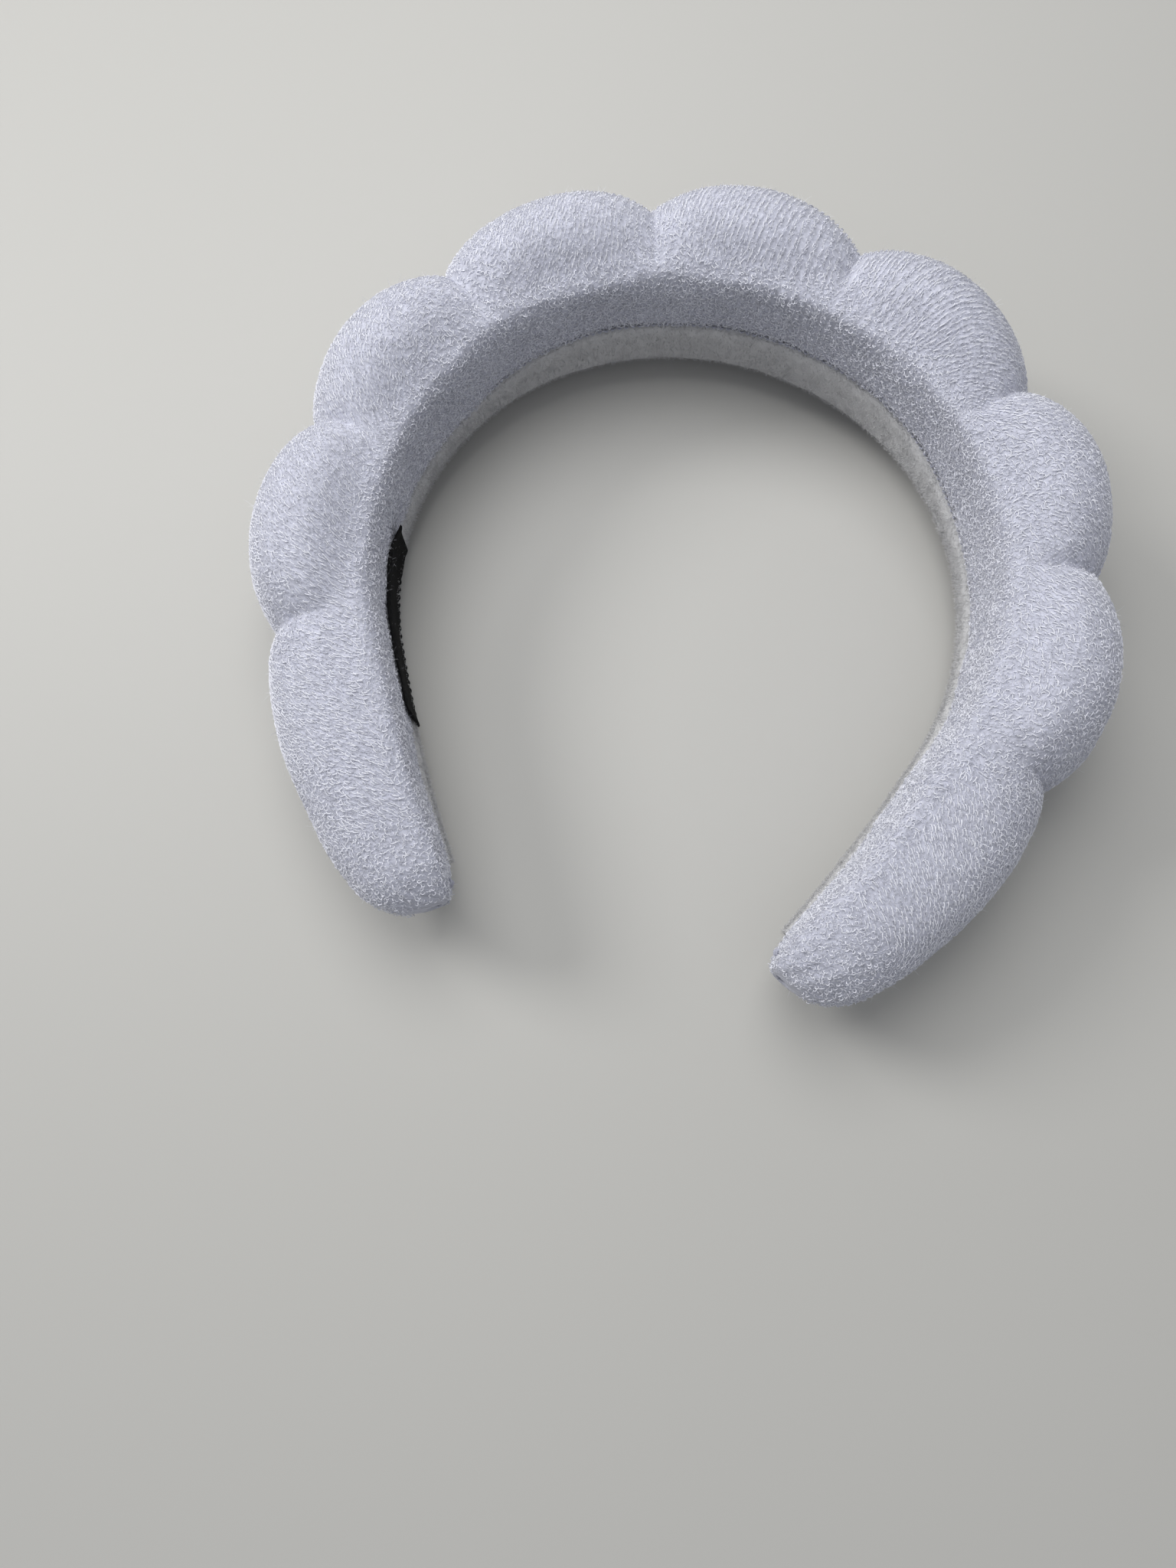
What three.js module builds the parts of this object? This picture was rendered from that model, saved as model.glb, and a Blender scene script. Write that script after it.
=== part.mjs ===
// A puffy terry-cloth spa headband, lying on its back edge. A springy plastic hoop carries nine foam
// pads, seven round puffs and two tapered tails, under a terry sleeve that is closed by a lining strip
// along the side that faces the head. Millimetres. The U of the hoop lies in XY with the crown at +Y
// and the tails at -Y, and Z runs across the width of the band.
//
// Every piece is drawn in the band's own three coordinates and then bent round the hoop:
//   station  distance along the hoop from the middle of the crown, positive towards +X
//   angle    direction round the cross-section, 0 away from the head and PI towards it
//   inset    depth below the outer skin, negative for what lies on top of it
import * as THREE from 'three';

// The line that the lining follows, as three tangent arcs on each side of the crown's middle.
const crownRadius = 62.7;
const crownHalfLength = 37;
const templeRadius = 55;
const templeLength = 75.2;
const tailRadius = 290;

// Lengths of the pads along that line, from the middle of the crown outwards.
const crownPuffLength = 33.6;
const shoulderPuffLength = 33.5;
const templePuffLength = 29.6;
const cheekPuffLength = 31.7;
const tailLength = 56;

// Cross-section. The section's middle lies innerDepth out from the lining.
const innerDepth = 7;
const innerFlatness = 5; // 2 for an ellipse, more for a flatter face with a firmer edge
const bandHalfWidth = 16.5;
const valleyDepth = 13.5;
const puffDepth = 19.2;
const puffHalfWidth = 27;
const restHalfWidth = 21; // puffs are pressed flat here on both edges, where the band rests
const puffRoundness = 1.17; // radius of a puff's outline over half its length
const swellStart = -0.4; // cosine of the angle at which a puff starts to widen
const swellSpan = 0.9;

// The tails swell from the last valley to tailDepth and then narrow to the tip.
const tailDepth = 17.5;
const tailSwellLength = 14;
const tipShare = 0.57;
const tipTaperPower = 2.8;
const tipRoundLength = 6;
const tipEndShare = 0.45;

// Layers, from the skin inwards, and the room between them.
const coverThickness = 1.4;
const liningThickness = 1.2;
const hoopThickness = 1.6;
const layerGap = 0.4;
const foamGap = 1.2;
const padGap = 0.4;

// What faces the head, as its height above the middle plane and its width.
const liningOffset = -8;
const liningWidth = 13;
const hoopOffset = -2;
const hoopWidth = 14;
const hoopEndMargin = 9;
const foamEdgeMargin = 1.5;

// Sewing thread and label.
const threadThickness = 0.6;
const threadGap = 0.35;
const labelSetback = 11; // from the valley between the temple and cheek puffs
const labelLength = 39;
const labelOffset = -4;
const labelHeight = 17;
const labelThickness = 0.6;
const labelStitchInset = 1.2;
const tailStitchWidth = 7;
const tailStitchSetback = 3.5;

// The arms flex about the hoop, in the valleys between the shoulder and temple puffs.
const flexOpening = THREE.MathUtils.degToRad(15);
const flexMargin = THREE.MathUtils.degToRad(1.6);

const cover = { color: 0xd9dbe8, roughness: 0.95, metalness: 0 };
const lining = { color: 0xd6d6db, roughness: 0.9, metalness: 0 };
const foam = { color: 0xf3efe4, roughness: 0.9, metalness: 0 };
const plastic = { color: 0xe9e9e6, roughness: 0.45, metalness: 0 };
const thread = { color: 0xcfd1df, roughness: 0.8, metalness: 0 };
const label = { color: 0x141416, roughness: 0.7, metalness: 0 };
const labelThread = { color: 0x1c1c1f, roughness: 0.8, metalness: 0 };

// Stations of the valleys from the crown outwards, and of the tip.
const valleys = [crownPuffLength / 2];
for (const length of [shoulderPuffLength, templePuffLength, cheekPuffLength]) {
  valleys.push(valleys.at(-1) + length);
}
const flexStation = valleys[1];
const tailStart = valleys.at(-1);
const tipStation = tailStart + tailLength;
const tuckStation = tipStation - tipRoundLength;
const pivotDepth = liningThickness + layerGap + hoopThickness / 2;

const hoopArcs = [
  { radius: crownRadius, length: crownHalfLength },
  { radius: templeRadius, length: templeLength },
  { radius: tailRadius, length: Infinity },
];

function smoothstep(value) {
  return THREE.MathUtils.smoothstep(value, 0, 1);
}

// Where a station lies on the hoop line, and which way the band is heading there.
function alongHoop(station) {
  const side = station < 0 ? -1 : 1;
  let left = Math.abs(station);
  let heading = 0;
  let x = 0;
  let y = 0;
  for (const arc of hoopArcs) {
    const run = Math.min(left, arc.length);
    const turned = heading + run / arc.radius;
    x += arc.radius * (Math.sin(turned) - Math.sin(heading));
    y += arc.radius * (Math.cos(turned) - Math.cos(heading));
    heading = turned;
    left -= run;
  }
  return { x: side * x, y, heading: side * heading };
}

// A point depth away from the hoop line and height above the band's middle plane.
function place(station, depth, height) {
  const at = alongHoop(station);
  const x = at.x + depth * Math.sin(at.heading);
  const y = at.y + depth * Math.cos(at.heading);
  return new THREE.Vector3(x, y, restHalfWidth + height);
}

// How far a station is up its puff, from 0 in a valley to 1 on the crest. The outline is an arc.
function puffRise(station) {
  const away = Math.abs(station);
  const next = valleys.findIndex((valley) => away <= valley);
  if (next < 0) return 0;
  const from = next === 0 ? -valleys[0] : valleys[next - 1];
  const share = (2 * (away - from)) / (valleys[next] - from) - 1;
  const foot = Math.sqrt(puffRoundness ** 2 - 1);
  return (Math.sqrt(puffRoundness ** 2 - share ** 2) - foot) / (puffRoundness - foot);
}

// How far the section has narrowed at a station: 1 along the puffs, less along the tails.
function narrowing(station) {
  const along = THREE.MathUtils.clamp((Math.abs(station) - tailStart) / tailLength, 0, 1);
  return THREE.MathUtils.lerp(1, tipShare, along ** tipTaperPower);
}

// Size of the section at a station, which also rounds off about its middle at the tip.
function taper(station) {
  const round = THREE.MathUtils.clamp((Math.abs(station) - tuckStation) / tipRoundLength, 0, 1);
  return narrowing(station) * THREE.MathUtils.lerp(tipEndShare, 1, Math.sqrt(1 - round ** 2));
}

// Depth of the outer half of the section, from its middle to the skin.
function outerDepth(station) {
  const away = Math.abs(station);
  if (away <= tailStart) return THREE.MathUtils.lerp(valleyDepth, puffDepth, puffRise(station));
  const swell = THREE.MathUtils.clamp((away - tailStart) / tailSwellLength, 0, 1);
  return THREE.MathUtils.lerp(valleyDepth, tailDepth, Math.sqrt(1 - (1 - swell) ** 2));
}

// A sine or cosine drawn out towards its ends, which squares up the curve that it draws.
function squared(value) {
  return Math.sign(value) * Math.abs(value) ** (2 / innerFlatness);
}

// Depth and height of a point of the section: half an ellipse outside, a flatter curve inside.
function sectionPoint(station, angle, inset) {
  const size = taper(station);
  const outward = Math.cos(angle);
  const inside = outward < 0;
  const half = (inside ? innerDepth : outerDepth(station)) * size;
  const swell = puffRise(station) * smoothstep((outward - swellStart) / swellSpan);
  const width = THREE.MathUtils.lerp(bandHalfWidth, puffHalfWidth, swell) * size;
  const limit = restHalfWidth - inset;
  const across = inside ? squared(Math.sin(angle)) : Math.sin(angle);
  const height = THREE.MathUtils.clamp((width - inset) * across, -limit, limit);
  const out = inside ? squared(outward) : outward;
  return { depth: innerDepth * narrowing(station) + (half - inset) * out, height };
}

function skinPoint(station, angle, inset) {
  const { depth, height } = sectionPoint(station, angle, inset);
  return place(station, depth, height);
}

// Angle at which the side that faces the head stands height above the band's middle plane.
function faceAngle(height) {
  const across = Math.abs(height / bandHalfWidth) ** (innerFlatness / 2);
  return Math.PI - Math.sign(height) * Math.asin(across);
}

// Moves every vertex of a geometry by a function of its own coordinates.
function warp(geometry, move) {
  const position = geometry.getAttribute('position');
  const vertex = new THREE.Vector3();
  for (let i = 0; i < position.count; i++) {
    vertex.fromBufferAttribute(position, i);
    vertex.copy(move(vertex));
    position.setXYZ(i, vertex.x, vertex.y, vertex.z);
  }
  geometry.deleteAttribute('uv');
  geometry.computeVertexNormals();
  return geometry;
}

// A bent box: its three sides run along shares 0 to 1 of angle, inset and station.
function bentBox(angleSteps, stationSteps, point) {
  const box = new THREE.BoxGeometry(1, 1, 1, angleSteps, 1, stationSteps);
  return warp(box, (v) => point(v.x + 0.5, 0.5 - v.y, v.z + 0.5));
}

function strip(from, to, angles, insets, angleSteps, stationSteps) {
  return bentBox(angleSteps, stationSteps, (round, down, along) => skinPoint(
    THREE.MathUtils.lerp(from, to, along),
    THREE.MathUtils.lerp(angles[0], angles[1], round),
    THREE.MathUtils.lerp(insets[0], insets[1], down),
  ));
}

// The end of a pad, drawn back at a flex valley so that the arm can open.
function padEnd(station, inwards, depth) {
  const flexes = Math.abs(Math.abs(station) - flexStation) < 1e-6;
  const wedge = flexes ? Math.tan((flexOpening + flexMargin) / 2) * Math.max(0, depth - pivotDepth) : 0;
  return station + inwards * (padGap / 2 + wedge);
}

function padPoint(from, to, along, angle, inset) {
  const { depth, height } = sectionPoint(THREE.MathUtils.lerp(from, to, along), angle, inset);
  const start = padEnd(from, 1, depth);
  const end = padEnd(to, -1, depth);
  return place(THREE.MathUtils.lerp(start, end, along), depth, height);
}

const faceTop = liningOffset + liningWidth / 2;
const faceBottom = liningOffset - liningWidth / 2;
const threadRoom = threadThickness + 2 * threadGap;
const hoopInset = coverThickness + layerGap;
const foamInset = coverThickness + foamGap;
const foamBaseInset = hoopInset + hoopThickness + layerGap;

// The sleeve runs from its upper edge round the outside to its lower edge, in equal steps of angle.
const sleeveTop = faceAngle(faceTop + threadRoom);
const sleeveBottom = faceAngle(faceBottom - threadRoom) - 2 * Math.PI;
const sleeveSteps = 20;

// One length of the terry sleeve: a wall open along the face, where the lining closes it.
function coverPad(from, to, stationSteps) {
  return bentBox(sleeveSteps, stationSteps, (round, down, along) => padPoint(
    from, to, along, THREE.MathUtils.lerp(sleeveTop, sleeveBottom, round), down * coverThickness,
  ));
}

// One foam pad: it stands on the hoop and fills the sleeve.
function foamPad(from, to, stationSteps) {
  const top = faceAngle(hoopOffset + hoopWidth / 2 + foamEdgeMargin);
  const bottom = faceAngle(hoopOffset - hoopWidth / 2 - foamEdgeMargin);
  return bentBox(sleeveSteps, stationSteps, (round, down, along) => {
    const outside = THREE.MathUtils.lerp(top, bottom - 2 * Math.PI, round);
    const outer = padPoint(from, to, along, outside, foamInset);
    const base = padPoint(from, to, along, THREE.MathUtils.lerp(top, bottom, round), foamBaseInset);
    return outer.lerp(base, down);
  });
}

// A tail's folded-in end: the whole section, closing to a round tip.
function tuck(side) {
  const start = tuckStation + padGap / 2;
  const drum = new THREE.CylinderGeometry(1, 1, 1, 16, 4);
  return warp(drum, (v) => {
    const station = THREE.MathUtils.lerp(start, tipStation, 0.5 + side * v.y);
    const middle = place(side * station, innerDepth * narrowing(station), 0);
    const skin = skinPoint(side * station, Math.atan2(v.x, v.z), 0);
    return middle.lerp(skin, Math.hypot(v.x, v.z));
  });
}

const headband = new THREE.Group();

function add(name, geometry, finish) {
  const mesh = new THREE.Mesh(geometry, new THREE.MeshStandardMaterial(finish));
  mesh.name = name;
  headband.add(mesh);
}

// The hoop runs through all the pads, under the lining.
const hoopEnd = tipStation - hoopEndMargin;
const hoopAngles = [faceAngle(hoopOffset - hoopWidth / 2), faceAngle(hoopOffset + hoopWidth / 2)];
const hoopInsets = [hoopInset, hoopInset + hoopThickness];
add('spring_hoop', strip(-hoopEnd, hoopEnd, hoopAngles, hoopInsets, 2, 56), plastic);

// Puffs 1 to 7 run from the left tail over the crown to the right tail.
const ends = [...valleys.map((valley) => -valley).reverse(), ...valleys];
for (let i = 0; i + 1 < ends.length; i++) {
  add(`foam_puff_${i + 1}`, foamPad(ends[i], ends[i + 1], 6), foam);
  add(`cover_puff_${i + 1}`, coverPad(ends[i], ends[i + 1], 6), cover);
}
for (const [name, side] of [['left', -1], ['right', 1]]) {
  const [from, to] = [side * tailStart, side * tuckStation].sort((a, b) => a - b);
  add(`foam_tail_${name}`, foamPad(from, to, 8), foam);
  add(`cover_tail_${name}`, coverPad(from, to, 8), cover);
  add(`tail_tuck_${name}`, tuck(side), cover);
}

// The lining closes the sleeve from tuck to tuck, with a row of stitching along each edge.
const faceEnd = tuckStation - padGap / 2;
const liningAngles = [faceAngle(faceBottom), faceAngle(faceTop)];
add('lining_strip', strip(-faceEnd, faceEnd, liningAngles, [0, liningThickness], 2, 56), lining);
const threadInsets = [threadGap / 2, threadGap / 2 + threadThickness];
for (const [name, edge, away] of [['upper', faceTop, 1], ['lower', faceBottom, -1]]) {
  const heights = [edge + away * threadGap, edge + away * (threadGap + threadThickness)];
  const angles = heights.sort((a, b) => a - b).map(faceAngle);
  add(`seam_thread_${name}`, strip(-faceEnd, faceEnd, angles, threadInsets, 1, 56), thread);
}

// The label is sewn over the lining on the left arm, along its two long edges.
const labelStart = -valleys[2] - labelSetback;
const labelEnd = labelStart - labelLength;
const labelInsets = [-threadGap - labelThickness, -threadGap];
const labelAngles = [faceAngle(labelOffset - labelHeight / 2), faceAngle(labelOffset + labelHeight / 2)];
add('woven_label', strip(labelEnd, labelStart, labelAngles, labelInsets, 2, 10), label);
const stitchInsets = [labelInsets[0] - threadGap - threadThickness / 2, labelInsets[0] - threadGap];
for (const [name, away] of [['upper', 1], ['lower', -1]]) {
  const middle = labelOffset + away * (labelHeight / 2 - labelStitchInset);
  const angles = [faceAngle(middle - threadThickness / 2), faceAngle(middle + threadThickness / 2)];
  const run = [labelEnd + labelStitchInset, labelStart - labelStitchInset];
  add(`label_stitch_${name}`, strip(...run, angles, stitchInsets, 1, 10), labelThread);
}

// A short bar of thread holds each folded-in tail end shut, on the side that faces the head.
for (const [name, side] of [['left', -1], ['right', 1]]) {
  const run = [tuckStation + tailStitchSetback, tuckStation + tailStitchSetback + threadThickness];
  const [from, to] = run.map((station) => side * station).sort((a, b) => a - b);
  const angles = [faceAngle(-tailStitchWidth / 2), faceAngle(tailStitchWidth / 2)];
  const insets = [-threadGap - threadThickness, -threadGap];
  add(`tail_stitch_${name}`, strip(from, to, angles, insets, 4, 1), thread);
}

// The origin is under the middle of the band, on the surface that it lies on.
const bounds = new THREE.Box3().setFromObject(headband, true);
headband.position.y = -(bounds.min.y + bounds.max.y) / 2;
headband.updateMatrixWorld(true);

export default headband;
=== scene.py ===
import math

import bpy
import numpy as np
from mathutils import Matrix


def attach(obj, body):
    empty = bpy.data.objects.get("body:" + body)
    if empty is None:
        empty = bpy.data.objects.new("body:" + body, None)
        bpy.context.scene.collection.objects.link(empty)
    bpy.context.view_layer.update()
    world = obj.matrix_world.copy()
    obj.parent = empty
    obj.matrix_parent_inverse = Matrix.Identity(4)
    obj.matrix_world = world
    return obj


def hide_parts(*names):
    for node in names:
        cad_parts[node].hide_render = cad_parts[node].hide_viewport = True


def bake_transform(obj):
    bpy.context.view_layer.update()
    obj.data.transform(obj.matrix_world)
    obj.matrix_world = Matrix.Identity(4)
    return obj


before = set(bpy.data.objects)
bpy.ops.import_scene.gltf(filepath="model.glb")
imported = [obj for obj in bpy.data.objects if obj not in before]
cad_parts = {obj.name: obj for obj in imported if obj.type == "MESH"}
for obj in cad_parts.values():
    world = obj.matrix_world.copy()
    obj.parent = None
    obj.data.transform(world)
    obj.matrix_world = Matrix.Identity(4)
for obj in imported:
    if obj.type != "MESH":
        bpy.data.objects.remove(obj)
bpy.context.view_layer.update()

# The camera: a phone held over the table, a little towards the tails, looking down into the hoop.
camera_aim = (-0.0107, -0.0432, 0.0)
camera_distance = 0.2495
camera_tilt = math.radians(9.13)
camera_turn = math.radians(11.94)
camera_lens = 27.03

camera = bpy.data.objects.new("camera", bpy.data.cameras.new("camera"))
camera.data.sensor_fit = "VERTICAL"
camera.data.sensor_height = 36
camera.data.lens = camera_lens
camera.data.clip_start = 0.01
camera.rotation_euler = (camera_tilt, 0, camera_turn)
camera.location = (
    camera_aim[0] + camera_distance * math.sin(camera_tilt) * math.sin(camera_turn),
    camera_aim[1] - camera_distance * math.sin(camera_tilt) * math.cos(camera_turn),
    camera_aim[2] + camera_distance * math.cos(camera_tilt),
)
bpy.context.collection.objects.link(camera)
bpy.context.scene.camera = camera


# ---------------------------------------------------------------------------------------------
# The springy hoop. A flat strip of moulded plastic bent to an open ring, tighter over the temples
# than over the crown. It runs through the whole band and bends as the arms are opened.
# ---------------------------------------------------------------------------------------------
MM = 0.001
hoop_arcs = ((62.7, 37.0), (55.0, 75.2), (290.0, math.inf))  # radius and length, from the crown out
crown_line_y = 52.76  # where the hoop line crosses the middle, ahead of the origin
middle_height = 21.0
puff_lengths = (33.6, 33.5, 29.6, 31.7)
tail_length = 56.0
valleys = np.cumsum((puff_lengths[0] / 2, *puff_lengths[1:]))
tail_start = valleys[-1]
tip_station = tail_start + tail_length
tip_round_length = 8.0
inner_depth = 7.0
inner_flatness = 6.0
band_half_width = 16.5
hoop_width = 14.0
hoop_thickness = 1.6
hoop_offset = -2.0
hoop_depth = 1.8
hoop_end_margin = 9.0


def along_hoop(station):
    """Place on the hoop line and heading of the band there, for stations in millimetres."""
    left = np.abs(station)
    x, y, heading = np.zeros_like(left), np.zeros_like(left), np.zeros_like(left)
    for radius, length in hoop_arcs:
        run = np.minimum(left, length)
        turned = heading + run / radius
        x += radius * (np.sin(turned) - np.sin(heading))
        y += radius * (np.cos(turned) - np.cos(heading))
        heading = turned
        left = left - run
    side = np.sign(station)
    return side * x, y + crown_line_y, side * heading


def place(station, depth, height):
    """A point depth away from the hoop line and height above the band's middle plane, in metres."""
    x, y, heading = along_hoop(station)
    return np.stack(
        (x + depth * np.sin(heading), y + depth * np.cos(heading), middle_height + height), axis=-1
    ) * MM


def mesh_piece(name, points, faces, material):
    """A smooth mesh object from its points and its faces, each a row of point numbers."""
    mesh = bpy.data.meshes.new(name)
    points = np.asarray(points, np.float32).reshape(-1, 3)
    mesh.vertices.add(len(points))
    mesh.vertices.foreach_set("co", points.ravel())
    sizes = np.array([len(face) for face in faces])
    mesh.loops.add(int(sizes.sum()))
    mesh.loops.foreach_set("vertex_index", np.concatenate([np.asarray(f) for f in faces]).astype(np.int32))
    mesh.polygons.add(len(faces))
    mesh.polygons.foreach_set("loop_start", (np.cumsum(sizes) - sizes).astype(np.int32))
    mesh.polygons.foreach_set("use_smooth", np.ones(len(faces), bool))
    mesh.update(calc_edges=True)
    mesh.materials.append(material)
    piece = bpy.data.objects.new(name, mesh)
    bpy.context.collection.objects.link(piece)
    return piece


def grid_faces(rows, columns, close_rows=False, close_columns=False):
    """Quads of a grid whose points are listed row by row."""
    row = np.arange(rows if close_rows else rows - 1)[:, None]
    column = np.arange(columns if close_columns else columns - 1)[None]
    after_row, after_column = (row + 1) % rows, (column + 1) % columns
    corners = (
        row * columns + column,
        row * columns + after_column,
        after_row * columns + after_column,
        after_row * columns + column,
    )
    return np.stack([np.broadcast_to(c, (row.size, column.size)) for c in corners], -1).reshape(-1, 4)


def closed_tube(rings, columns):
    """Faces of a tube of rings with a cap on each end, for rings of that many points."""
    faces = grid_faces(rings, columns, close_columns=True).tolist()
    faces.append(list(range(columns))[::-1])
    faces.append(list(range((rings - 1) * columns, rings * columns)))
    return faces


def new_material(name, colour, roughness):
    material = bpy.data.materials.new(name)
    material.use_nodes = True
    shader = material.node_tree.nodes["Principled BSDF"]
    shader.inputs["Base Color"].default_value = (*colour, 1)
    shader.inputs["Roughness"].default_value = roughness
    return material, material.node_tree, shader


def node(tree, kind, inputs=(), **settings):
    """A shader node with its settings; inputs are pairs of a socket and a value or another socket."""
    made = tree.nodes.new(kind)
    for key, value in settings.items():
        setattr(made, key, value)
    for key, value in inputs:
        if isinstance(value, bpy.types.NodeSocket):
            tree.links.new(value, made.inputs[key])
        else:
            made.inputs[key].default_value = value
    return made


def bend_with_arm(piece, side):
    """Bakes the piece's placement into its points; two places in the valley where its arm flexes are reckoned
    but not used.
    """
    start, end = place(side * np.array([30.0, 70.0]), np.array([8.0, 8.0]), np.zeros(2))
    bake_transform(piece)


plastic, tree, shader = new_material("moulded_plastic", (0.82, 0.82, 0.8), 0.42)
grain = node(tree, "ShaderNodeTexNoise", [("Scale", 900.0), ("Detail", 3.0)])
bump = node(
    tree, "ShaderNodeBump", [("Strength", 0.2), ("Distance", 0.0002), ("Height", grain.outputs["Fac"])]
)
tree.links.new(bump.outputs["Normal"], shader.inputs["Normal"])


def squared(value):
    """A sine or cosine drawn out towards its ends, which squares up the curve that it draws."""
    return np.sign(value) * np.abs(value) ** (2 / inner_flatness)


def face_angle(height):
    """Angle round the section at which the side that faces the head stands at that height."""
    across = np.abs(height / band_half_width) ** (inner_flatness / 2)
    return math.pi - np.sign(height) * np.arcsin(across)


def hoop_half(name, side):
    corner = 0.5
    across = np.array([-1, -1, -1 + corner / 7, 1 - corner / 7, 1, 1, 1 - corner / 7, -1 + corner / 7])
    down = np.array([0.3, 0.7, 1, 1, 0.7, 0.3, 0, 0])
    stations = side * np.linspace(0, tip_station - hoop_end_margin, 90)[:, None]
    height = hoop_offset + across[None] * hoop_width / 2
    angle = face_angle(height)
    depth = inner_depth + (inner_depth - hoop_depth - hoop_thickness * down) * squared(np.cos(angle))
    points = place(stations + 0 * depth, depth + 0 * stations, height + 0 * stations)
    faces = closed_tube(90, 8)
    if side > 0:
        faces = [face[::-1] for face in faces]
    return mesh_piece(name, points, faces, plastic)


for name, side in (("hoop_left", -1), ("hoop_right", 1)):
    half = hoop_half(name, side)
    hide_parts("spring_hoop")
    bend_with_arm(half, side)


# ---------------------------------------------------------------------------------------------
# The foam pads. Seven round puffs and two tapered tails of soft open-cell foam, cut in rounded
# blocks and set side by side on the hoop, where the sleeve squeezes them together.
# ---------------------------------------------------------------------------------------------
valley_depth = 13.5
puff_depth = 19.2
puff_half_width = 24.5
press_half_width = 23.4
press_firmness = 5.0
swell_start = 1.5
swell_run = 12.0
puff_roundness = 1.17
tail_depth = 17.5
tail_swell_length = 14.0
tip_share = 0.57
tip_taper_power = 2.8
tip_end_share = 0.32
foam_inset = 2.6
foam_end_gap = 1.6


def smoothstep(value):
    value = np.clip(value, 0, 1)
    return value * value * (3 - 2 * value)


def puff_rise(station):
    """0 in a valley and 1 on the crest of a puff. Each puff's outline is an arc."""
    away = np.abs(station)
    ends = np.concatenate(([-valleys[0]], valleys))
    index = np.clip(np.searchsorted(valleys, away), 0, len(valleys) - 1)
    start, end = ends[index], ends[index + 1]
    share = np.clip(2 * (away - start) / (end - start) - 1, -1, 1)
    foot = math.sqrt(puff_roundness**2 - 1)
    rise = (np.sqrt(puff_roundness**2 - share**2) - foot) / (puff_roundness - foot)
    return np.where(away > tail_start, 0, rise)


def narrowing(station):
    along = np.clip((np.abs(station) - tail_start) / tail_length, 0, 1)
    return 1 - (1 - tip_share) * along**tip_taper_power


def taper(station):
    """Size of the section: 1 along the puffs, narrowing along the tails and rounded off at the tip."""
    rounding = np.clip((np.abs(station) - tip_station + tip_round_length) / tip_round_length, 0, 1)
    return narrowing(station) * (tip_end_share + (1 - tip_end_share) * np.sqrt(1 - rounding**2))


def outer_depth(station):
    swell = np.clip((np.abs(station) - tail_start) / tail_swell_length, 0, 1)
    tail = valley_depth + (tail_depth - valley_depth) * np.sqrt(1 - (1 - swell) ** 2)
    puff = valley_depth + (puff_depth - valley_depth) * puff_rise(station)
    return np.where(np.abs(station) > tail_start, tail, puff)


def section(station, angle, inset):
    """Depth and height of a point of the section; the puffs are pressed flatter on both edges."""
    size = taper(station)
    outward, across = np.cos(angle), np.sin(angle)
    inside = outward < 0
    outward, across = (np.where(inside, squared(part), part) for part in (outward, across))
    half = np.where(inside, inner_depth, outer_depth(station)) * size
    middle_depth = inner_depth * narrowing(station)
    swell = puff_rise(station) * smoothstep((middle_depth + half * outward - swell_start) / swell_run)
    width = (band_half_width + (puff_half_width - band_half_width) * swell) * size
    height = (width - inset) * across
    pressed = np.abs(height / (press_half_width - inset)) ** press_firmness
    height = height / (1 + pressed) ** (1 / press_firmness)
    return middle_depth + (half - inset) * outward, height


foam_colour = (0.9, 0.87, 0.78)
foam, tree, shader = new_material("open_cell_foam", foam_colour, 0.9)
cells = node(tree, "ShaderNodeTexVoronoi", [("Scale", 1400.0)])
shade = node(tree, "ShaderNodeMapRange", [(0, cells.outputs["Distance"]), (3, 1.0), (4, 0.72)])
tint = node(
    tree, "ShaderNodeMix", [(0, 1.0), (6, (*foam_colour, 1))], data_type="RGBA", blend_type="MULTIPLY"
)
tree.links.new(shade.outputs[0], tint.inputs[7])
tree.links.new(tint.outputs[2], shader.inputs["Base Color"])
bump = node(
    tree, "ShaderNodeBump", [("Strength", 0.5), ("Distance", 0.0003), ("Height", cells.outputs["Distance"])]
)
tree.links.new(bump.outputs["Normal"], shader.inputs["Normal"])


def foam_pad(name, start, end):
    rings, columns = 25, 48
    ease = 0.5 - 0.5 * np.cos(np.linspace(0, math.pi, rings))
    low, high = start + foam_end_gap, end - foam_end_gap
    stations = low + (high - low) * ease
    dome = np.sqrt(np.clip(1 - (2 * ease - 1) ** 6, 0, 1)) * 0.985 + 0.015
    angles = np.linspace(0, 2 * math.pi, columns, endpoint=False)
    station, angle = np.meshgrid(stations, angles, indexing="ij")
    depth, height = section(station, angle, foam_inset)
    notch = smoothstep((-np.cos(angle) - 0.4) / 0.5) * (hoop_depth + hoop_thickness + 0.6 - foam_inset)
    middle_depth = 0.55 * inner_depth + 0.5 * outer_depth(station)
    depth = middle_depth + (depth + notch - middle_depth) * dome[:, None]
    height = height * dome[:, None]
    return mesh_piece(name, place(station, depth, height), closed_tube(rings, columns), foam)


puff_ends = np.concatenate((-valleys[::-1], valleys))
puff_bodies = ("left_arm", "left_arm", "crown", "crown", "crown", "right_arm", "right_arm")
foam_pieces = []
for i, body in enumerate(puff_bodies):
    pad = foam_pad(f"foam_pad_{i + 1}", puff_ends[i], puff_ends[i + 1])
    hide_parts(f"foam_puff_{i + 1}")
    foam_pieces.append((pad, body, 0.8))
for name, side in (("left", -1), ("right", 1)):
    near, far = sorted((side * tail_start, side * (tip_station - 0.5 * tip_round_length)))
    pad = foam_pad(f"foam_pad_tail_{name}", near, far)
    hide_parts(f"foam_tail_{name}")
    foam_pieces.append((pad, f"{name}_arm", 0.7))
for pad, body, fill in foam_pieces:
    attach(pad, body)


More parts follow.
